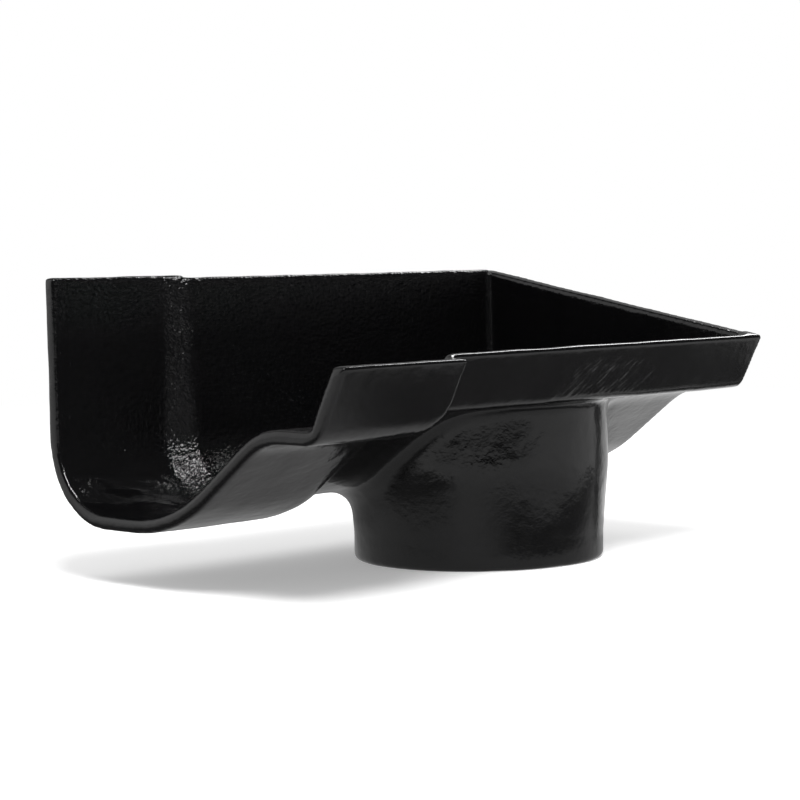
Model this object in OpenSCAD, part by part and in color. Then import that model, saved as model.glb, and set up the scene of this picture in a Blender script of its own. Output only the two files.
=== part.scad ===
// Ogee gutter stop end outlet, cast in one piece: a short gutter with an open socket at the left,
// a closed stop end at the right and a round outlet spigot under the middle.
// X runs along the gutter from the socket to the stop end, -Y is the front with the ogee and the
// lip, +Y is the flat back that goes against the wall. The origin is on the outlet's axis, level
// with its lower rim.

/* [Gutter section] */
// distance of the flat back face behind the outlet's axis
back_y = 59.5; // [56:0.5:66]
// height of the underside of the sole above the outlet's rim
sole_z = 20.6; // [14:0.2:30]
// height of the back wall's top above the underside of the sole
back_h = 64.4; // [60:0.2:75]
// height of the lip's top above the underside of the sole
front_h = 43.4; // [40:0.2:50]
// thickness of the cast wall
wall = 4; // [3.5:0.1:5]
// outside radius between the back and the sole
back_corner_r = 19.4; // [14:0.2:26]
// distance behind the outlet's axis at which the sole begins to curve up into the ogee
belly_y = 28; // [22:0.5:32]
// outside radius of the full curve at the foot of the ogee
belly_r = 48.8; // [40:0.2:56]
// steepest angle of the ogee
slope_deg = 36.5; // [30:0.5:42]
// outside radius of the hollow curve under the ledge
cove_r = 26.2; // [20:0.2:30]
// height of the ledge's underside above the underside of the sole
ledge_rise = 27.2; // [24:0.2:32]
// distance of the lip's foot in front of the outlet's axis
lip_foot_y = 44.6; // [43:0.2:50]
// lean of the lip out from upright
lip_lean = 28; // [20:1:34]
// outside rounding at the foot of the lip
lip_foot_r = 4; // [4:0.5:6]

/* [Socket] */
// distance of the open end from the outlet's axis
open_x = 110; // [100:1:140]
// outside length of the socket
socket_len = 45; // [40:1:55]
// room left all round the next gutter's end inside the socket
socket_gap = 1.2; // [0.8:0.1:2]
// depth of the socket to the start of its shoulder
socket_depth = 39.6; // [36:0.2:45]
// length of the sloping shoulder inside
shoulder_len = 7.4; // [5:0.2:10]
// how much higher the socket's back stands than the gutter's
socket_back_rise = 0.8; // [0:0.1:2]
// how much lower the socket's lip stands than the gutter's
socket_lip_drop = 1; // [0:0.1:2]
// length over which the socket's inner end is rounded off
socket_round = 6; // [3:0.5:7]
// how far the ogee, the sole and the back are rounded down there
socket_round_drop = 2.4; // [0.5:0.1:3]

/* [Stop end] */
// distance of the outside of the stop end from the outlet's axis
stop_x = 71.5; // [60:0.5:100]
// thickness of the stop end plate
stop_t = 5.5; // [4:0.5:8]
// size of the inside corner where the plate meets the gutter
stop_fillet = 1; // [0.6:0.2:3]

/* [Outlet] */
// outside diameter of the spigot at its rim
outlet_d = 75; // [70:0.5:76]
// thickness of the spigot's wall at its rim
outlet_wall = 4.5; // [4.2:0.1:5.5]
// height of the true round part at the spigot's rim
outlet_straight = 8; // [6:1:12]
// how much the spigot widens, on the radius, above its straight part
outlet_flare = 1.6; // [0:0.1:2]
// height of the widening part
outlet_flare_h = 20; // [12:1:24]
// bevel on the outer edge of the rim
rim_bevel = 0.8; // [0.4:0.1:1.5]
// size of the fillet between the spigot and the gutter's sole, at the back
neck_fillet = 8; // [5:0.5:9]
// how much of that size is left at the front, under the lip
neck_front = 0.2; // [0.15:0.05:0.35]

/* [Hidden] */
$fn = 96;
step = wall + socket_gap;
ledge_z = sole_z + ledge_rise;
back_top = sole_z + back_h;
lip_top = sole_z + front_h;
end_x = -open_x;
socket_x = end_x + socket_len;
shoulder_x = end_x + socket_depth;
round_x = socket_x - socket_round;
plate_x = stop_x - stop_t;
outlet_r = outlet_d / 2;
neck_r = outlet_r + outlet_flare;
bore_r = outlet_r - outlet_wall;
// upper end of the rooms cut out of the gutter, above every wall
sky = 100;
ss = sin(slope_deg);
cs = cos(slope_deg);
sl = sin(lip_lean);
cl = cos(lip_lean);
// centres of the section's curves
corner_c = [back_y - back_corner_r, sole_z + back_corner_r];
belly_c = [belly_y, sole_z + belly_r];
// straight run of the ogee between its two curves
straight = (ledge_rise - (belly_r + cove_r) * (1 - cs)) / ss;
belly_end = belly_c - belly_r * [ss, cs];
cove_start = belly_end + straight * [-cs, ss];
cove_c = cove_start - cove_r * [ss, cs];
foot_c = [-lip_foot_y + lip_foot_r * (1 - sl) / cl, ledge_z + lip_foot_r];
// steps in the rounds of the section: lip foot, hollow curve, full curve and back corner
foot_steps = 6;
cove_steps = 7;
belly_steps = 9;
corner_steps = 15;
// steps in the rounding of the socket's end, and steps round the neck's fillet
round_steps = 4;
neck_steps = 48;

// points of a round about centre c, from angle a1 to a2 in n steps
function arc(c, r, a1, a2, n) = [
    for (i = [0:n]) c + r * [cos(a1 + (a2 - a1) * i / n), sin(a1 + (a2 - a1) * i / n)]
];

// foot of the lip at offset d from the gutter's outside, sharp or rounded
function foot(d, sharp) = sharp
    ? [[-lip_foot_y - d * (1 - sl) / cl, ledge_z - d]]
    : arc(foot_c, lip_foot_r + d, 180 + lip_lean, 270, foot_steps);

// The gutter's outline at offset d from its outside, open to the sky: lip, ledge, hollow curve,
// straight, full curve, sole, back corner and back. The same outline serves the outside, the
// inside and the socket.
function outline(d, sharp) = [
    foot_c + (lip_foot_r + d) * [-cl, -sl] + 60 * [-sl, cl],
    each foot(d, sharp),
    each arc(cove_c, cove_r - d, 90, 90 - slope_deg, cove_steps),
    each arc(belly_c, belly_r + d, 270 - slope_deg, 270, belly_steps),
    each arc(corner_c, back_corner_r + d, 270, 360, corner_steps),
    [back_y + d, sky]
];

// flat shape in the section, run along X from x1 to x2
module along(x1, x2) {
    translate([x1, 0, 0]) rotate([90, 0, 90]) linear_extrude(x2 - x1) children();
}

// room inside the outline at offset d, from x1 to x2
module room(x1, x2, d, sharp = true) {
    along(x1, x2) polygon(outline(d, sharp));
}

// room whose offset goes from d1 at x1 to d2 at x2
module sloping_room(x1, d1, x2, d2) {
    near = outline(d1, true);
    far = outline(d2, true);
    n = len(near);
    polyhedron(
        points = concat([for (p = near) [x1, p[0], p[1]]], [for (p = far) [x2, p[0], p[1]]]),
        faces = [
            [for (i = [0:n - 1]) i],
            [for (i = [n:-1:1]) n + i % n],
            for (i = [0:n - 1]) [i, n + i, n + (i + 1) % n, (i + 1) % n]
        ]
    );
}

// outline of the socket where its rounding has turned by angle a: the foot of the lip moves up
// along the lip, the rest of the section draws in
function rounded(a) = let (
    up = socket_round * (1 - cos(a)),
    d = step - socket_round_drop * (1 - cos(a)),
    lip = lip_foot_r + step
) [
    foot_c + lip * [-cl, -sl] + 60 * [-sl, cl],
    each [for (p = foot(step, false)) p + up * [-sl, cl]],
    each arc(cove_c, cove_r - d, 90, 90 - slope_deg, cove_steps),
    each arc(belly_c, belly_r + d, 270 - slope_deg, 270, belly_steps),
    each arc(corner_c, back_corner_r + d, 270, 360, corner_steps),
    [back_y + d, sky]
];

// rounded inner end of the socket
module socket_end() {
    n = len(rounded(0));
    angles = [for (i = [0:round_steps]) 90 * i / round_steps];
    rings = [for (a = angles) [for (p = rounded(a)) [round_x + socket_round * sin(a), p[0], p[1]]]];
    polyhedron(
        points = [for (ring = rings) each ring],
        faces = [
            [for (i = [0:n - 1]) i],
            [for (i = [n:-1:1]) round_steps * n + i % n],
            for (k = [0:round_steps - 1]) for (i = [0:n - 1])
                each let (a = k * n + i, b = k * n + (i + 1) % n) [[a, a + n, b], [b, a + n, b + n]]
        ]
    );
}

// everything under the tops of the walls: back at zb, lip at zf
module below(x1, x2, zb, zf) {
    translate([x1, -80, 0]) cube([x2 - x1, 80, zf]);
    translate([x1, 0, 0]) cube([x2 - x1, 80, zb]);
}

// solid outside of the socket
module socket_block() {
    intersection() {
        union() {
            room(end_x, round_x, step, false);
            socket_end();
        }
        below(end_x, socket_x, back_top + socket_back_rise, lip_top - socket_lip_drop);
    }
}

// solid outside of the gutter's body
module body_block() {
    intersection() {
        room(socket_x - 1, plate_x, 0, false);
        below(socket_x - 1, plate_x, back_top, lip_top);
    }
}

// stop end plate, its top running straight from the high back down to the lip
module stop_plate() {
    lip_y = foot_c[0] - lip_foot_r * cl - (lip_top - foot_c[1] + lip_foot_r * sl) * sl / cl;
    intersection() {
        room(plate_x - 1, stop_x, 0, false);
        along(plate_x - 1, stop_x) polygon([
            [-80, 0], [80, 0], [80, back_top], [back_y, back_top], [lip_y, lip_top], [-80, lip_top]
        ]);
    }
}

// spigot's outside: bevelled rim, straight part, widening part and neck up into the gutter
module spigot_block() {
    cylinder(h = rim_bevel, r1 = outlet_r - rim_bevel, r2 = outlet_r);
    translate([0, 0, rim_bevel]) cylinder(h = outlet_straight - rim_bevel, r = outlet_r);
    translate([0, 0, outlet_straight])
        cylinder(h = outlet_flare_h, r1 = outlet_r, r2 = outlet_r + outlet_flare);
    translate([0, 0, outlet_straight + outlet_flare_h])
        cylinder(h = ledge_z + 1 - outlet_straight - outlet_flare_h, r = neck_r);
}

// height of the gutter's underside at distance y from the outlet's axis, front negative
function under(y) = lookup(y, [for (p = outline(0, true)) if (p[0] < back_y && p[1] < sky) p]);

// radius of the spigot's outside at height z
function neck(z) = lookup(z, [[outlet_straight, outlet_r], [outlet_straight + outlet_flare_h, neck_r]]);

// points of the neck's fillet at angle a round the outlet's axis, as distance from the axis and
// height
function fillet_profile(a) = let (
    w = neck_fillet * (1 + neck_front + (1 - neck_front) * sin(a)) / 2,
    top = under(neck_r * sin(a)),
    r0 = neck(top - w)
) [
    [r0 - 2, top - w],
    [r0 - 0.5, top - w],
    each [for (t = [65, 45, 25]) let (r = r0 + (neck_r + w - r0) * (1 - sin(t)))
        [r, under(r * sin(a)) - w * (1 - cos(t))]],
    [neck_r + w, under((neck_r + w) * sin(a)) + 0.5],
    [r0 - 2, under((r0 - 2) * sin(a)) + 1]
];

// cast fillet between the spigot and the gutter's underside
module neck_ring() {
    rings = [for (i = [0:neck_steps - 1]) let (a = 360 * i / neck_steps)
        [for (p = fillet_profile(a)) [p[0] * cos(a), p[0] * sin(a), p[1]]]];
    m = len(rings[0]);
    polyhedron(
        points = [for (ring = rings) each ring],
        faces = [
            for (k = [0:neck_steps - 1]) for (j = [0:m - 1])
                each let (
                    a = k * m + j,
                    b = k * m + (j + 1) % m,
                    c = (k + 1) % neck_steps * m + j,
                    d = (k + 1) % neck_steps * m + (j + 1) % m
                ) [[a, b, c], [b, d, c]]
        ]
    );
}

// everything outside, still solid
module outside() {
    socket_block();
    body_block();
    stop_plate();
    spigot_block();
    neck_ring();
}

// everything hollow: socket, its shoulder, the channel, its corner at the stop end and the bore
module hollow() {
    room(end_x - 1, shoulder_x, socket_gap);
    sloping_room(shoulder_x, socket_gap, shoulder_x + shoulder_len, -wall);
    room(shoulder_x + shoulder_len, plate_x - stop_fillet, -wall);
    sloping_room(plate_x - stop_fillet, -wall, plate_x, -wall - stop_fillet);
    translate([0, 0, -1]) cylinder(h = ledge_z + wall + 3, r = bore_r);
}

// the whole casting
module outlet_casting() {
    color([0.11, 0.11, 0.12]) difference() {
        outside();
        hollow();
    }
}

outlet_casting();
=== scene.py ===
# %% [markdown]
# Ogee gutter stop end outlet, sand-cast in iron and coated with gloss black paint.
# This lesson dresses the imported CAD casting. The CAD gives every size. Blender rounds the cast
# edges, gives the skin the unevenness of a sand mould, and paints it. The first step loads the
# casting.

# %% Load the frame
import math

import bpy
import numpy as np
from mathutils import Matrix, Vector


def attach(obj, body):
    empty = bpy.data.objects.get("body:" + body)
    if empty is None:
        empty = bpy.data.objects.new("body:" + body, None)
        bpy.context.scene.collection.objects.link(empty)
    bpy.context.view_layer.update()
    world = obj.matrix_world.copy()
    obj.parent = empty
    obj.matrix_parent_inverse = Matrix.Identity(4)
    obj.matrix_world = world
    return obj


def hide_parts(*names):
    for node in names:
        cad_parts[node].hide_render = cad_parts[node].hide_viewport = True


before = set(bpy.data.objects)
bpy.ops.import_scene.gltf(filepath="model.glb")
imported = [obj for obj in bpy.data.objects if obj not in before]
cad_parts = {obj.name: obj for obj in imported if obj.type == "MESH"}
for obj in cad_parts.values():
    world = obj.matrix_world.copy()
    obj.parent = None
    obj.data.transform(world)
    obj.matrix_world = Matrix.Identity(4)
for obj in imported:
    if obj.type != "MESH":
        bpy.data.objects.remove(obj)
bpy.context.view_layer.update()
MM = 0.001

# %% [markdown]
# A few numbers are read off the casting's own drawing: X runs along the gutter from the open
# socket to the stop end, the ogee and the lip face -Y, the flat back faces +Y, and the spigot's
# rim stands at height 0. They could be measured on the mesh, but a named size also says which
# part of the casting a later step means.

# %% Sizes of the casting, in millimetres
MOUTH_X = -110.0
SHOULDER_X = (-70.4, -63.0)
SOCKET_END_X = -65.0
STOP_INSIDE_X = 66.0
BORE_R = 33.0
SEAM_R = 41.0
SPIGOT_PLAIN_Z = 10.0
SEAM_TOP_Z = 50.0
LIP_FACE_Y = -48.0
LIP_FOOT_Y = -44.0
LIP_INSIDE_Y = -35.0
LIP_FOOT_Z = 45.0
LIP_TOP_Z = 62.5
CHANNEL_TOP_Z = 60.0
BACK_INSIDE_Y = 45.0
BACK_TOP_Z = 80.0
print("room in the channel:", STOP_INSIDE_X - max(SHOULDER_X), "mm long")

# %% [markdown]
# Operators act on all that is selected, so each one is preceded by a helper that selects one
# object alone. Paint colours are easiest to read as hex values from a colour card. Shaders take
# linear light, so a second helper turns one into the other.

# %% Helpers: one selected object, and hex colours
def only(obj):
    """Makes obj the one selected and active object."""
    bpy.ops.object.select_all(action="DESELECT")
    obj.select_set(True)
    bpy.context.view_layer.objects.active = obj


def linear(hex_colour):
    """sRGB hex, such as '#1A1B1E', as the linear colour that a shader takes."""
    parts = [int(hex_colour[i:i + 2], 16) / 255 for i in (1, 3, 5)]
    return [p / 12.92 if p <= 0.04045 else ((p + 0.055) / 1.055) ** 2.4 for p in parts] + [1.0]


print("white paper is", round(linear("#F2F2F2")[0], 2), "in linear light")

# %% [markdown]
# The camera stands where the photograph was taken from: in front, to the left of the open
# socket, a little above the rim of the gutter. Its place, turn and lens were worked out from the
# straight edges of the casting, so the drawing's corners fall on the picture's corners.

# %% Camera
PIXELS = 800
FOCAL_PX = 2253.87
CENTRE_PX = (408.9, 397.7)
SENSOR_MM = 36
CAMERA_MM = Vector((-492.0, -461.8, 91.1))
YAW = math.radians(45.093)
PITCH = math.radians(3.672)
ROLL = math.radians(-1.0406)
forward = Vector((math.sin(YAW) * math.cos(PITCH), math.cos(YAW) * math.cos(PITCH), -math.sin(PITCH)))
side = Vector((math.cos(YAW), -math.sin(YAW), 0))
up = side.cross(forward)
across = math.cos(ROLL) * side + math.sin(ROLL) * up
upright = -math.sin(ROLL) * side + math.cos(ROLL) * up
cam_data = bpy.data.cameras.new("camera")
cam_data.sensor_width = SENSOR_MM
cam_data.lens = FOCAL_PX * SENSOR_MM / PIXELS
cam_data.shift_x = -(CENTRE_PX[0] - PIXELS / 2) / PIXELS
cam_data.shift_y = (CENTRE_PX[1] - PIXELS / 2) / PIXELS
cam_data.clip_start = 0.01
cam_data.clip_end = 50
camera = bpy.data.objects.new("camera", cam_data)
turn = Matrix((across, upright, -forward)).transposed()
camera.matrix_world = Matrix.Translation(CAMERA_MM * MM) @ turn.to_4x4()
bpy.context.scene.collection.objects.link(camera)
bpy.context.scene.camera = camera
bpy.context.scene.view_settings.view_transform = "Standard"
print("lens", round(cam_data.lens, 1), "mm")

# %% [markdown]
# A sand casting has no knife edges: sand crumbles at each corner of the mould, and iron doesn't
# fill the last of it. A Bevel modifier would need clean edge loops, which a solid made of curved
# cuts doesn't have. So the CAD solid is copied, its loose triangles are merged, and the Remesh
# modifier lays an even skin of 0.6 mm squares over it. Even squares can be smoothed and pushed
# in and out anywhere.

# %% Casting: even skin over the CAD solid
SKIN_MM = 0.62
cad_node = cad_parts["outlet_casting"]
casting = cad_node.copy()
casting.data = cad_node.data.copy()
casting.name = casting.data.name = "painted_casting"
bpy.context.scene.collection.objects.link(casting)
casting.parent = None
only(casting)
bpy.ops.object.mode_set(mode="EDIT")
bpy.ops.mesh.select_all(action="SELECT")
bpy.ops.mesh.remove_doubles(threshold=1e-6)
bpy.ops.object.mode_set(mode="OBJECT")
skin = casting.modifiers.new("skin", "REMESH")
skin.mode = "VOXEL"
skin.voxel_size = SKIN_MM * MM
bpy.ops.object.modifier_apply(modifier=skin.name)
print("skin:", len(casting.data.polygons), "faces")

# %% [markdown]
# Where a casting is round, rough or smooth depends on the place, and modifiers take that as a
# vertex group: a weight between 0 and 1 for each point. The weights could be painted by hand,
# but formulas over the points' places give the same result on each run. The helpers read places
# and normals, fade a weight in and out, and keep it as a group.

# %% Helpers: points, normals and weights
def points_and_normals(mesh):
    """Places in millimetres and normals of all points, as two arrays."""
    place = np.empty(len(mesh.vertices) * 3)
    normal = np.empty(len(mesh.vertices) * 3)
    mesh.vertices.foreach_get("co", place)
    mesh.vertex_normals.foreach_get("vector", normal)
    return place.reshape(-1, 3) / MM, normal.reshape(-1, 3)


def ramp(values, low, high):
    """0 at low, 1 at high, straight between."""
    return np.clip((values - low) / (high - low), 0, 1)


def beside(values, middle, full, none):
    """1 up to the distance full from middle, 0 from the distance none on."""
    return ramp(-np.abs(values - middle), -none, -full)


def store_group(obj, name, weights):
    """Keeps weights as a vertex group, in twenty steps."""
    group = obj.vertex_groups.new(name=name)
    steps = np.round(weights * 20).astype(int)
    for step in range(1, 21):
        group.add(np.flatnonzero(steps == step).tolist(), step / 20, "REPLACE")


print("a weight fades in and out:", beside(np.array([-9, -7, -5, 0, 5, 7, 9]), 0, 5, 9))

# %% [markdown]
# The inside of the gutter and the outside look different on the real casting, because a core of
# sand shaped one and the mould shaped the other. The faces could be picked by hand, but there
# are too many. So each point of the skin is told its side from its place and its normal: the
# inside faces look up, or towards the middle of the channel. The stop end's inner face is much
# smoother than the rest of the inside, so it gets only a share.

# %% Which points lie inside
STOP_GRAIN = 0.12


def inside_weight(place, normal):
    """1 on the faces that look into the channel or the bore, 0 on the outside."""
    x, y, z = place.T
    to_right, to_back, upwards = normal.T
    past_mouth = ramp(x, MOUTH_X + 0.3, MOUTH_X + 1.5)
    floor_side = ramp(upwards, 0.1, 0.4) * (z < CHANNEL_TOP_Z) * past_mouth
    back_side = ramp(-to_back, 0.2, 0.6) * (y > BACK_INSIDE_Y) * past_mouth
    lip_side = ramp(to_back, 0.2, 0.6) * (y < LIP_INSIDE_Y) * (z > LIP_FOOT_Z)
    at_stop = (x > STOP_INSIDE_X - 6) * (x < STOP_INSIDE_X + 2)
    stop_side = STOP_GRAIN * ramp(-to_right, 0.3, 0.7) * at_stop
    to_axis = -(x * to_right + y * to_back)
    bore_side = (np.hypot(x, y) < BORE_R + 2) * ramp(to_axis, 0, 10) * (z < CHANNEL_TOP_Z)
    return np.clip(floor_side + back_side + lip_side + stop_side + bore_side, 0, 1)


place, normal = points_and_normals(casting.data)
inside = inside_weight(place, normal)
store_group(casting, "inside", inside)
print("points:", len(place), "inside:", int(inside.sum()))

# %% [markdown]
# Some places are rounder than the rest on the casting: the shoulder inside the socket, which the
# core rounds off, the inner end of the socket, the seam where the spigot grows out of the gutter,
# the rim of the mouth and the top of the lip. Each is found from its place on the casting, and
# gets a group, in which neighbours that need the same rounding share one.

# %% Places that are rounder than the rest
SOCKET_END_SHARE = 0.4
x, y, z = place.T
outside = 1 - inside
shoulder = inside * beside(x, sum(SHOULDER_X) / 2, 5, 9)
lower_body = (z < BACK_TOP_Z) * (y > LIP_FOOT_Y)
socket_end = SOCKET_END_SHARE * outside * beside(x, SOCKET_END_X, 3, 6) * lower_body
neck_height = ramp(z, SPIGOT_PLAIN_Z, SPIGOT_PLAIN_Z + 4) * (z < SEAM_TOP_Z)
neck = outside * beside(np.hypot(x, y), SEAM_R, 4, 8) * neck_height
mouth = outside * ramp(-x, -MOUTH_X - 8, -MOUTH_X - 4) * ramp(-normal[:, 0], -0.5, 0.0)
lip_height = ramp(z, LIP_TOP_Z - 1.5, LIP_TOP_Z) * (z < LIP_TOP_Z + 7.5)
crest = lip_height * (y < LIP_FACE_Y) * ramp(normal[:, 2], -0.2, 0.3)
store_group(casting, "soft", np.clip(shoulder + socket_end, 0, 1))
store_group(casting, "neck", neck)
store_group(casting, "mouth", mouth)
store_group(casting, "crest", crest)
print("rounder points:", int((shoulder + socket_end + neck + mouth + crest > 0).sum()))

# %% [markdown]
# The plain edges of the casting have a radius under 1 mm, and the places found above a larger
# one. The Smooth modifier pulls each point towards its neighbours, so more passes give a larger
# radius, and a group keeps them to one place. A Bevel with weights would do the same on clean
# edge loops, which this skin doesn't have.

# %% Rounded edges
ROUNDINGS = (
    ("edges", "", 9),
    ("soft_places", "soft", 28),
    ("neck_seam", "neck", 70),
    ("mouth_edge", "mouth", 9),
    ("lip_crest", "crest", 14),
)
for name, group, passes in ROUNDINGS:
    smooth = casting.modifiers.new(name, "SMOOTH")
    smooth.factor = 0.5
    smooth.iterations = passes
    smooth.vertex_group = group
    bpy.ops.object.modifier_apply(modifier=smooth.name)
    print("rounded:", name, "in", passes, "passes")

# %% [markdown]
# Smoothing rounds the top of the lip, and it also sinks it by about half a millimetre. On the
# casting that edge is round but stands at its full height, and the paint draws a thin bright
# line along it. A Displace modifier along Z lifts it back, which keeps the roundness.

# %% Top of the lip back at its height
CREST_RISE_MM = 0.45
crown = casting.modifiers.new("crown", "DISPLACE")
crown.direction = "Z"
crown.strength = CREST_RISE_MM * MM
crown.mid_level = 0
crown.vertex_group = "crest"
bpy.ops.object.modifier_apply(modifier=crown.name)
print("lip raised by", CREST_RISE_MM, "mm")

# %% [markdown]
# Sand gives the skin its unevenness. The outside is only slightly wavy, about a tenth of a
# millimetre over 14 mm. The inside, which a sand core leaves, has a close grain about 2 mm across
# under the paint. A bump in the material would be enough for the eye, but Displace modifiers
# with a clouds pattern also show in the outline and stay in the mesh.

# %% Cast unevenness
def displace(name, size_mm, strength_mm, group=""):
    """Pushes the skin in and out by a clouds pattern of the given size."""
    clouds = bpy.data.textures.new(name, "CLOUDS")
    clouds.noise_scale = size_mm * MM
    clouds.noise_depth = 1
    push = casting.modifiers.new(name, "DISPLACE")
    push.texture = clouds
    push.texture_coords = "LOCAL"
    push.strength = strength_mm * MM
    push.mid_level = 0.5
    push.vertex_group = group
    bpy.ops.object.modifier_apply(modifier=push.name)
    print(name, "up to", strength_mm / 2, "mm in and out")


displace("mould_waves", 14, 0.35)
displace("core_grain", 1.8, 0.15, "inside")
displace("mould_grain", 3.2, 0.05)

# %% [markdown]
# The even skin has many more faces than a library part should carry. Decimate joins them where
# the surface is flat, and keeps them along the edges. Cutting the skin coarser from the start
# would be quicker, but would lose the edges too. The thinned skin then gets its sides marked
# afresh, as an attribute that the paint reads.

# %% Fewer faces
FACES = 185000
thin = casting.modifiers.new("thin", "DECIMATE")
casting.data.calc_loop_triangles()
thin.ratio = FACES / len(casting.data.loop_triangles)
bpy.ops.object.modifier_apply(modifier=thin.name)
casting.data.polygons.foreach_set("use_smooth", [True] * len(casting.data.polygons))
casting.vertex_groups.clear()
place, normal = points_and_normals(casting.data)
mark = casting.data.attributes.new("inside", "FLOAT", "POINT")
mark.data.foreach_set("value", inside_weight(place, normal).astype(np.float32))
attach(casting, "root")
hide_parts("outlet_casting")
print("faces:", len(casting.data.polygons))

# %% [markdown]
# Materials are networks of nodes. In the editor each node is added and wired by hand; here one
# helper adds a node with its settings, and links or sets what is named. A second one builds what
# comes back often in this scene: an amount that fades out at the borders of a field. A third
# turns the real size of a pattern into the scale that a noise takes.

# %% Helpers: a node, an amount that fades at its borders, and a pattern's scale
def add(tree, kind, settings=None, **inputs):
    """Adds a node with its settings; a named input is linked to a socket or set to a value."""
    made = tree.nodes.new(kind)
    for name, value in (settings or {}).items():
        setattr(made, name, value)
    for name, value in inputs.items():
        socket = made.inputs[int(name[1:]) if name[0] == "_" else name.replace("_", " ")]
        if isinstance(value, bpy.types.NodeSocket):
            tree.links.new(value, socket)
        else:
            socket.default_value = value
    return made


def faded(tree, amount, borders, unit=MM):
    """Multiplies amount by a ramp for each border, which is 0 at its start and 1 at its end."""
    for value, start, end in borders:
        edge = add(tree, "ShaderNodeMapRange", Value=value, From_Min=start * unit, From_Max=end * unit)
        amount = add(tree, "ShaderNodeMath", {"operation": "MULTIPLY"}, _0=amount, _1=edge.outputs[0])
        amount = amount.outputs[0]
    return amount


def per_metre(size_mm):
    """How many cells of a pattern fit in a metre, when one is size_mm across."""
    return 1 / (size_mm * MM)


print("a pattern of 2 mm has", round(per_metre(2)), "cells per metre")

# %% [markdown]
# The finish is gloss black alkyd paint, dipped and brushed over sand-cast iron. It is an
# almost black film with a clear gloss on top, so nearly all that the eye gets is reflection: about
# 4 % straight on, much more at a glancing angle. What tells it from plastic is the grain of the
# casting under it, about 1 mm across, stronger inside, and faint brush marks on the lip. The
# film itself dries with a soft orange peel, which is laid down first.

# %% Gloss black paint: the film
PEEL_MM = 3.03
PEEL_DEPTH_MM = 0.5
PEEL_STRENGTH = 0.18
paint = bpy.data.materials.new("gloss_black_paint_on_cast_iron")
paint.use_nodes = True
coat = paint.node_tree
coat.nodes.clear()
coords = add(coat, "ShaderNodeTexCoord").outputs["Object"]
side_mark = add(coat, "ShaderNodeAttribute", {"attribute_name": "inside"}).outputs["Fac"]
where = add(coat, "ShaderNodeSeparateXYZ", Vector=coords).outputs
peel = add(coat, "ShaderNodeTexNoise", Vector=coords, Scale=per_metre(PEEL_MM), Detail=2.0,
           Roughness=0.5)
film = add(coat, "ShaderNodeBump", Height=peel.outputs["Fac"], Strength=PEEL_STRENGTH,
           Distance=PEEL_DEPTH_MM * MM)
print("orange peel:", PEEL_MM, "mm across")

# %% [markdown]
# Wet paint that runs down gathers on the socket's floor in smooth sheets with round edges, which
# catch the light in streaks. They could be modelled as drops, but they are only tenths of a
# millimetre thick, so a stretched noise in the bump is enough. Two Mapping nodes turn it first
# and stretch it afterwards, since one node does it the other way round. The sheets lie only
# inside, left of the shoulder and low down.

# %% Paint that pooled on the socket's floor
POOL_MM = (35.71, 11.11, 6.667)
POOL_DEPTH_MM = 2.6
POOL_TURN = math.radians(45)
pool_turn = add(coat, "ShaderNodeMapping", Vector=coords, Rotation=(0, 0, POOL_TURN))
pool_place = add(coat, "ShaderNodeMapping", Vector=pool_turn.outputs[0],
                 Scale=[per_metre(size) for size in POOL_MM])
pool = add(coat, "ShaderNodeTexNoise", Vector=pool_place.outputs[0], Scale=1.0, Detail=1.0)
pooled = faded(coat, side_mark, ((where["X"], -70, -78), (where["Z"], 34, 28)))
pooled_film = add(coat, "ShaderNodeBump", Height=pool.outputs["Fac"], Strength=pooled,
                  Distance=POOL_DEPTH_MM * MM, Normal=film.outputs["Normal"])
print("pooled paint in sheets of", POOL_MM, "mm")

# %% [markdown]
# Where the coat is thin, the grain of the sand shows through it as a close sparkle about 1 mm
# across. Inside it lies everywhere but under the pooled paint. Outside the mould was faced with
# finer sand, so it shows only in a few faint patches the size of a thumbnail.

# %% Grain of the sand under the paint
GRAIN_MM = 1.1765
GRAIN_DEPTH_MM = 0.6
PATCH_MM = 16.67
PATCH_GRAIN = (0.06, 0.14)
CORE_GRAIN = 0.9
POOLED_GRAIN = 0.15
grain = add(coat, "ShaderNodeTexNoise", Vector=coords, Scale=per_metre(GRAIN_MM), Detail=2.0,
            Roughness=0.6)
spots = add(coat, "ShaderNodeTexNoise", Vector=coords, Scale=per_metre(PATCH_MM), Detail=1.0)
patch = add(coat, "ShaderNodeMapRange", Value=spots.outputs["Fac"], From_Min=0.56, From_Max=0.72,
            To_Min=PATCH_GRAIN[0], To_Max=PATCH_GRAIN[1])
bare = add(coat, "ShaderNodeMapRange", Value=pooled, To_Min=CORE_GRAIN, To_Max=POOLED_GRAIN)
core_grain = add(coat, "ShaderNodeMath", {"operation": "MULTIPLY"}, _0=side_mark, _1=bare.outputs[0])
all_grain = add(coat, "ShaderNodeMath", {"operation": "MAXIMUM"}, _0=core_grain.outputs[0],
                _1=patch.outputs[0])
grained = add(coat, "ShaderNodeBump", Height=grain.outputs["Fac"], Strength=all_grain.outputs[0],
              Distance=GRAIN_DEPTH_MM * MM, Normal=pooled_film.outputs["Normal"])
print("grain:", GRAIN_MM, "mm, patches:", PATCH_MM, "mm")

# %% [markdown]
# On the flat face of the lip the brush left a short field of slanting strokes, about 2 mm apart.
# They could be drawn as a texture image, but a noise that is turned and stretched gives the same
# ragged strokes at any size. The field fades out at its four sides.

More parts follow.
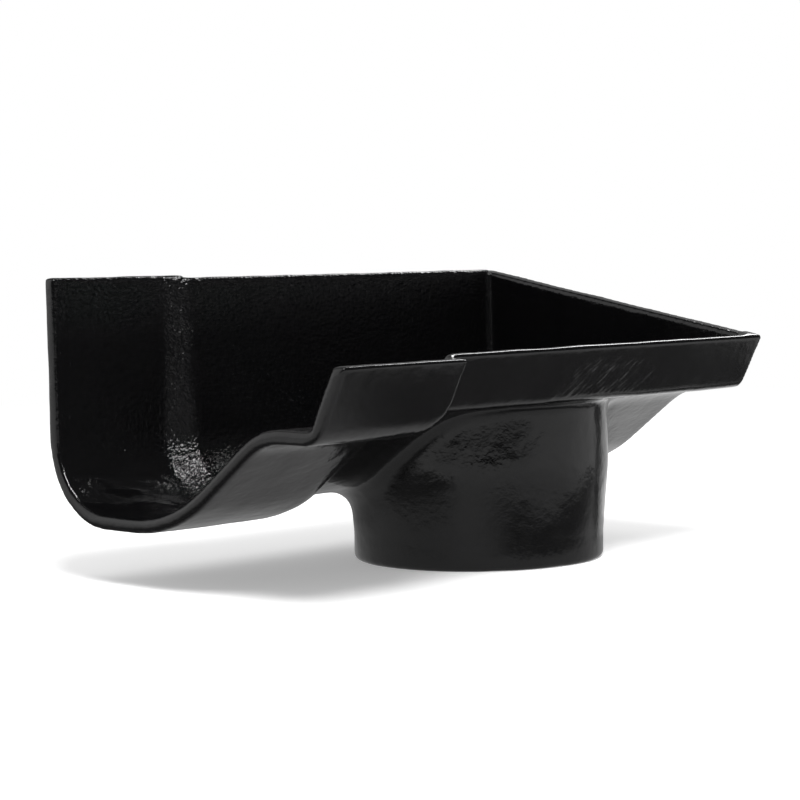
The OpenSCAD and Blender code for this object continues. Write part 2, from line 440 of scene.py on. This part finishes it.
# %% Brush marks on the lip
STROKE_MM = (9.09, 9.09, 2.222)
STROKE_DEPTH_MM = 0.5
STROKE_TURN = math.radians(42)
STROKE_FIELD = (("Y", -44, -46), ("X", -24, -8), ("X", 35, 10), ("Z", 62, 58), ("Z", 47, 52))
stroke_turn = add(coat, "ShaderNodeMapping", Vector=coords, Rotation=(0, STROKE_TURN, 0))
stroke_place = add(coat, "ShaderNodeMapping", Vector=stroke_turn.outputs[0],
                   Scale=[per_metre(size) for size in STROKE_MM])
strokes = add(coat, "ShaderNodeTexNoise", Vector=stroke_place.outputs[0], Scale=1.0, Detail=1.0)
on_lip = faded(coat, 1.0, [(where[axis], start, end) for axis, start, end in STROKE_FIELD])
brushed = add(coat, "ShaderNodeBump", Height=strokes.outputs["Fac"], Strength=on_lip,
              Distance=STROKE_DEPTH_MM * MM, Normal=grained.outputs["Normal"])
print("brush strokes:", STROKE_MM[2], "mm apart")

# %% [markdown]
# Dried paint of this kind has the refractive index of most resins, 1.5, and is glossy but not a
# mirror, so its roughness wanders between 0.10 and 0.19 over a centimetre or two. The black is
# nearly neutral. One Principled shader holds it all: a coat layer over a rough base would look
# the same here, because the base is black.

# %% Shader of the paint
HAZE_MM = 14.29
ROUGHNESS = (0.10, 0.19)
RESIN_IOR = 1.5
cloudy = add(coat, "ShaderNodeTexNoise", Vector=coords, Scale=per_metre(HAZE_MM), Detail=2.0)
haze = add(coat, "ShaderNodeMapRange", Value=cloudy.outputs["Fac"], From_Min=0.3, From_Max=0.7,
           To_Min=ROUGHNESS[0], To_Max=ROUGHNESS[1])
tint = add(coat, "ShaderNodeMix", {"data_type": "RGBA"}, _0=haze.outputs[0],
           _6=linear("#060607"), _7=linear("#0C0B0B"))
gloss_black = add(coat, "ShaderNodeBsdfPrincipled", Normal=brushed.outputs["Normal"],
                  Roughness=haze.outputs[0], Base_Color=tint.outputs[2], IOR=RESIN_IOR)
add(coat, "ShaderNodeOutputMaterial", Surface=gloss_black.outputs["BSDF"])
casting.data.materials.clear()
casting.data.materials.append(paint)
print("paint:", len(coat.nodes), "nodes")

# %% [markdown]
# The casting stands on white paper that runs off into a white backdrop behind it, and the room in
# front is dim, as in a small studio. The paper near the casting is lit and takes its shadow.
# Further away it only has to look white, so it shines for the camera and for reflections there.

# %% Paper under the casting
PAPER_M = 8
bpy.ops.mesh.primitive_plane_add(size=PAPER_M, location=(0, 0, 0))
floor = bpy.context.object
floor.name = "paper_floor"
paper = bpy.data.materials.new("white_paper")
paper.use_nodes = True
sheet = paper.node_tree
sheet.nodes.clear()
ground = add(sheet, "ShaderNodeTexCoord").outputs["Object"]
distance = add(sheet, "ShaderNodeVectorMath", {"operation": "LENGTH"}, _0=ground).outputs["Value"]
ground_axes = add(sheet, "ShaderNodeSeparateXYZ", Vector=ground).outputs
right = ground_axes["X"]
back = ground_axes["Y"]
slope = add(sheet, "ShaderNodeMath", {"operation": "DIVIDE"}, _0=back, _1=right).outputs[0]
print("paper:", PAPER_M, "m wide")

# %% [markdown]
# Gloss black paint is a dark mirror, so each face shows the piece of paper that it faces. A
# product photographer steers that with black and white cards beside the object. Modelled cards
# would throw shadows and show from other sides. So the paper's own level in reflections, and in
# nothing else, is graded instead, as painted light and shade: 1 is white, and each field below
# fades in at its borders. The borders are millimetres from the outlet's axis, or a slope, which is
# Y over X. The number before them is the field's strength.

# %% Painted shadow in reflections: below the lip's face, and around the mouth
PAPER_LEVEL = (0.40, 0.62)
DARK_FIELD = 0.12
level = add(sheet, "ShaderNodeMapRange", Value=distance, From_Min=80 * MM, From_Max=300 * MM,
            To_Min=PAPER_LEVEL[0], To_Max=PAPER_LEVEL[1])
# Painted shadow: both dark fields stand for the casting's own shadow on the paper, which the lip's
# face and the mouth mirror.
below_lip = faded(sheet, 1.0, ((right, -70, -30), (back, -52, -68), (back, -108, -92),
                               (right, 185, 155)))
around_mouth = faded(sheet, 1.0, ((right, -90, -120), (distance, 220, 160), (back, -65, -45)))
painted_shadow = add(sheet, "ShaderNodeMath", {"operation": "MAXIMUM"}, _0=below_lip, _1=around_mouth)
shade = add(sheet, "ShaderNodeMapRange", Value=painted_shadow.outputs[0], To_Min=1.0, To_Max=DARK_FIELD)
level = add(sheet, "ShaderNodeMath", {"operation": "MULTIPLY"}, _0=level.outputs[0],
            _1=shade.outputs[0])
print("dark fields keep", DARK_FIELD, "of the paper's level")

# %% [markdown]
# The underside of the ogee near the stop end is the lightest face of all, because it looks down
# at bare paper in full light. So the paper is plain white there, from a little way right of the
# spigot on, whatever the fields before it say.

# %% White field: right of the spigot, for the stop end's underside
under_stop = faded(sheet, 1.0, ((right, 75, 100), (back, -35, -10), (right, 320, 220)))
level = add(sheet, "ShaderNodeMath", {"operation": "MAXIMUM"}, _0=level.outputs[0], _1=under_stop)
print("white field laid, nodes so far:", len(sheet.nodes))

# %% [markdown]
# Down the right side of the spigot the real one shows a ragged dark streak, and a light strip
# between it and the outline. Both are reflections of what lies on the right, so both are fields
# that fan out from the spigot's edge, seen along a slope from there. A noise frays their border.

# %% Dark streak and light strip for the spigot's right side
SPIGOT_EDGE_MM = (16, -34)
FRAY_MM = 6.25
from_edge_x = add(sheet, "ShaderNodeMath", {"operation": "SUBTRACT"}, _0=right,
                  _1=SPIGOT_EDGE_MM[0] * MM)
from_edge_y = add(sheet, "ShaderNodeMath", {"operation": "SUBTRACT"}, _0=back,
                  _1=SPIGOT_EDGE_MM[1] * MM)
fan = add(sheet, "ShaderNodeMath", {"operation": "DIVIDE"}, _0=from_edge_y.outputs[0],
          _1=from_edge_x.outputs[0])
fray = add(sheet, "ShaderNodeTexNoise", Vector=ground, Scale=per_metre(FRAY_MM), Detail=3.0)
fray = add(sheet, "ShaderNodeMapRange", Value=fray.outputs["Fac"], From_Min=0.3, From_Max=0.7,
           To_Min=-0.1, To_Max=0.1)
fan = add(sheet, "ShaderNodeMath", {"operation": "ADD"}, _0=fan.outputs[0], _1=fray.outputs[0])
streak = faded(sheet, 1.0, ((fan.outputs[0], -0.19, -0.16), (fan.outputs[0], 0.06, 0.02)), unit=1)
streak = faded(sheet, streak, ((right, 50, 70),))
strip = faded(sheet, 0.65, ((fan.outputs[0], 0.07, 0.1),), unit=1)
strip = faded(sheet, strip, ((right, 50, 70), (right, 1000, 800)))
print("frayed border:", FRAY_MM, "mm")

# %% [markdown]
# Further away the paper falls off towards the dim room in front, and towards the back, where the
# spigot and the ogee would otherwise show it too light. Each field takes its strength away from
# the level, and the light strip goes on top.

# %% Dimmer fields further away
gap = faded(sheet, 0.5, ((slope, -0.16, -0.1), (slope, 0.22, 0.16)), unit=1)
gap = faded(sheet, gap, ((right, 150, 250),))
dim_front = faded(sheet, 0.92, ((distance, 400, 700), (right, 0, -200), (back, 0, -200)))
dim_right = faded(sheet, 0.4, ((slope, 0.0, 0.1),), unit=1)
dim_right = faded(sheet, dim_right, ((right, 200, 300),))
dim_back = faded(sheet, 0.75, ((right, -200, -80), (back, 40, 120)))
for amount in (gap, streak, dim_front, dim_right, dim_back):
    kept = add(sheet, "ShaderNodeMath", {"operation": "SUBTRACT"}, _0=1.0, _1=amount)
    level = add(sheet, "ShaderNodeMath", {"operation": "MULTIPLY"}, _0=level.outputs[0],
                _1=kept.outputs[0])
level = add(sheet, "ShaderNodeMath", {"operation": "MAXIMUM"}, _0=level.outputs[0], _1=strip)
print("ramps in the paper:", sum(node.type == "MAP_RANGE" for node in sheet.nodes))

# %% [markdown]
# Three kinds of ray meet the paper. The camera, also through glass, sees lit matt paper near the
# casting, with the shadow on it, and plain white further off. The paint sees the graded level.
# All other light falls on plain matt paper. Light Path tells them apart, so the background is
# white without more light on the object.

# %% What each ray sees of the paper
WHITE = (1, 1, 1, 1)
SOFT_GLOW = 0.3
rays = add(sheet, "ShaderNodeLightPath").outputs
far = add(sheet, "ShaderNodeMapRange", {"interpolation_type": "SMOOTHSTEP"}, Value=distance,
          From_Min=250 * MM, From_Max=800 * MM)
matt = add(sheet, "ShaderNodeBsdfDiffuse", Color=linear("#F2F2F2")).outputs[0]
soft_glow = add(sheet, "ShaderNodeEmission", Color=WHITE, Strength=SOFT_GLOW).outputs[0]
white_glow = add(sheet, "ShaderNodeEmission", Color=WHITE, Strength=1.0).outputs[0]
near_paper = add(sheet, "ShaderNodeAddShader", _0=matt, _1=soft_glow)
seen = add(sheet, "ShaderNodeMixShader", Fac=far.outputs[0], _1=near_paper.outputs[0],
           _2=white_glow)
mirror_matt = add(sheet, "ShaderNodeBsdfDiffuse", Color=linear("#404040")).outputs[0]
mirror_glow = add(sheet, "ShaderNodeEmission", Color=WHITE, Strength=level.outputs[0]).outputs[0]
mirrored = add(sheet, "ShaderNodeAddShader", _0=mirror_matt, _1=mirror_glow)
unseen = add(sheet, "ShaderNodeMixShader", Fac=rays["Is Glossy Ray"], _1=matt,
             _2=mirrored.outputs[0])
looking = add(sheet, "ShaderNodeMath", {"operation": "MAXIMUM"}, _0=rays["Is Camera Ray"],
              _1=rays["Is Transmission Ray"])
all_rays = add(sheet, "ShaderNodeMixShader", Fac=looking.outputs[0], _1=unseen.outputs[0],
               _2=seen.outputs[0])
add(sheet, "ShaderNodeOutputMaterial", Surface=all_rays.outputs[0])
floor.data.materials.append(paper)
print("paper:", len(sheet.nodes), "nodes")

# %% [markdown]
# Above the paper stands the room. Behind the casting hangs a white backdrop. In reflections it
# fades in between 12 and 33 degrees behind the gutter's line, brighter on the left than on the
# right, and the rest is dim. A modelled room would do it too, but the world needs no walls. For
# the camera it is plain white, and for soft light it is an even grey.

# %% Room around the casting
BACKDROP_LEFT = 0.9
BACKDROP_RIGHT = 0.18
DIM_ROOM = 0.05
FILL_LEVEL = 0.5
world = bpy.data.worlds.new("studio")
bpy.context.scene.world = world
world.use_nodes = True
sky = world.node_tree
sky.nodes.clear()
direction = add(sky, "ShaderNodeTexCoord").outputs["Generated"]
towards = add(sky, "ShaderNodeSeparateXYZ", Vector=direction).outputs
behind = add(sky, "ShaderNodeMapRange", {"interpolation_type": "SMOOTHSTEP"}, Value=towards["Y"],
             From_Min=0.2, From_Max=0.55)
below_ceiling = add(sky, "ShaderNodeMapRange", {"interpolation_type": "SMOOTHSTEP"},
                    Value=towards["Z"], From_Min=0.9, From_Max=0.7)
lit_left = add(sky, "ShaderNodeMapRange", Value=towards["X"], From_Min=-0.4, From_Max=-0.1,
               To_Min=BACKDROP_LEFT, To_Max=BACKDROP_RIGHT)
backdrop = add(sky, "ShaderNodeMath", {"operation": "MULTIPLY"}, _0=behind.outputs[0],
               _1=below_ceiling.outputs[0])
backdrop = add(sky, "ShaderNodeMath", {"operation": "MULTIPLY"}, _0=backdrop.outputs[0],
               _1=lit_left.outputs[0])
room_level = add(sky, "ShaderNodeMapRange", Value=backdrop.outputs[0], To_Min=DIM_ROOM, To_Max=1.0)
room = add(sky, "ShaderNodeBackground", Color=WHITE, Strength=room_level.outputs[0])
fill = add(sky, "ShaderNodeBackground", Color=WHITE, Strength=FILL_LEVEL)
white = add(sky, "ShaderNodeBackground", Color=WHITE, Strength=1.0)
sky_rays = add(sky, "ShaderNodeLightPath").outputs
unseen_sky = add(sky, "ShaderNodeMixShader", Fac=sky_rays["Is Glossy Ray"], _1=fill.outputs[0],
                 _2=room.outputs[0])
clear = add(sky, "ShaderNodeMath", {"operation": "MAXIMUM"}, _0=sky_rays["Is Camera Ray"],
            _1=sky_rays["Is Transmission Ray"])
shown_sky = add(sky, "ShaderNodeMixShader", Fac=clear.outputs[0], _1=unseen_sky.outputs[0],
                _2=white.outputs[0])
add(sky, "ShaderNodeOutputWorld", Surface=shown_sky.outputs[0])
print("room:", len(sky.nodes), "nodes")

# %% [markdown]
# Two soft boxes light the casting. The stronger one hangs above, in front and to the left, and
# gives the sparkle inside the socket. The other stands to the right and a little behind, where
# the rounded top edges mirror it, and draws the bright lines along them. A sun lamp would give
# the same lines, but with hard shadows.

# %% Lamps
def lamp(name, place_m, size_m, watts):
    """Adds a square soft lamp that looks at the outlet's rim."""
    data = bpy.data.lights.new(name, "AREA")
    data.size = size_m
    data.energy = watts
    obj = bpy.data.objects.new(name, data)
    obj.location = place_m
    obj.rotation_euler = (-Vector(place_m)).to_track_quat("-Z", "Y").to_euler()
    bpy.context.scene.collection.objects.link(obj)
    print(name, watts, "W")


lamp("overhead_softbox", (-0.35, -0.45, 0.96), 0.4, 12)
lamp("edge_softbox", (1.0, 0.28, 0.8), 0.5, 7.5)
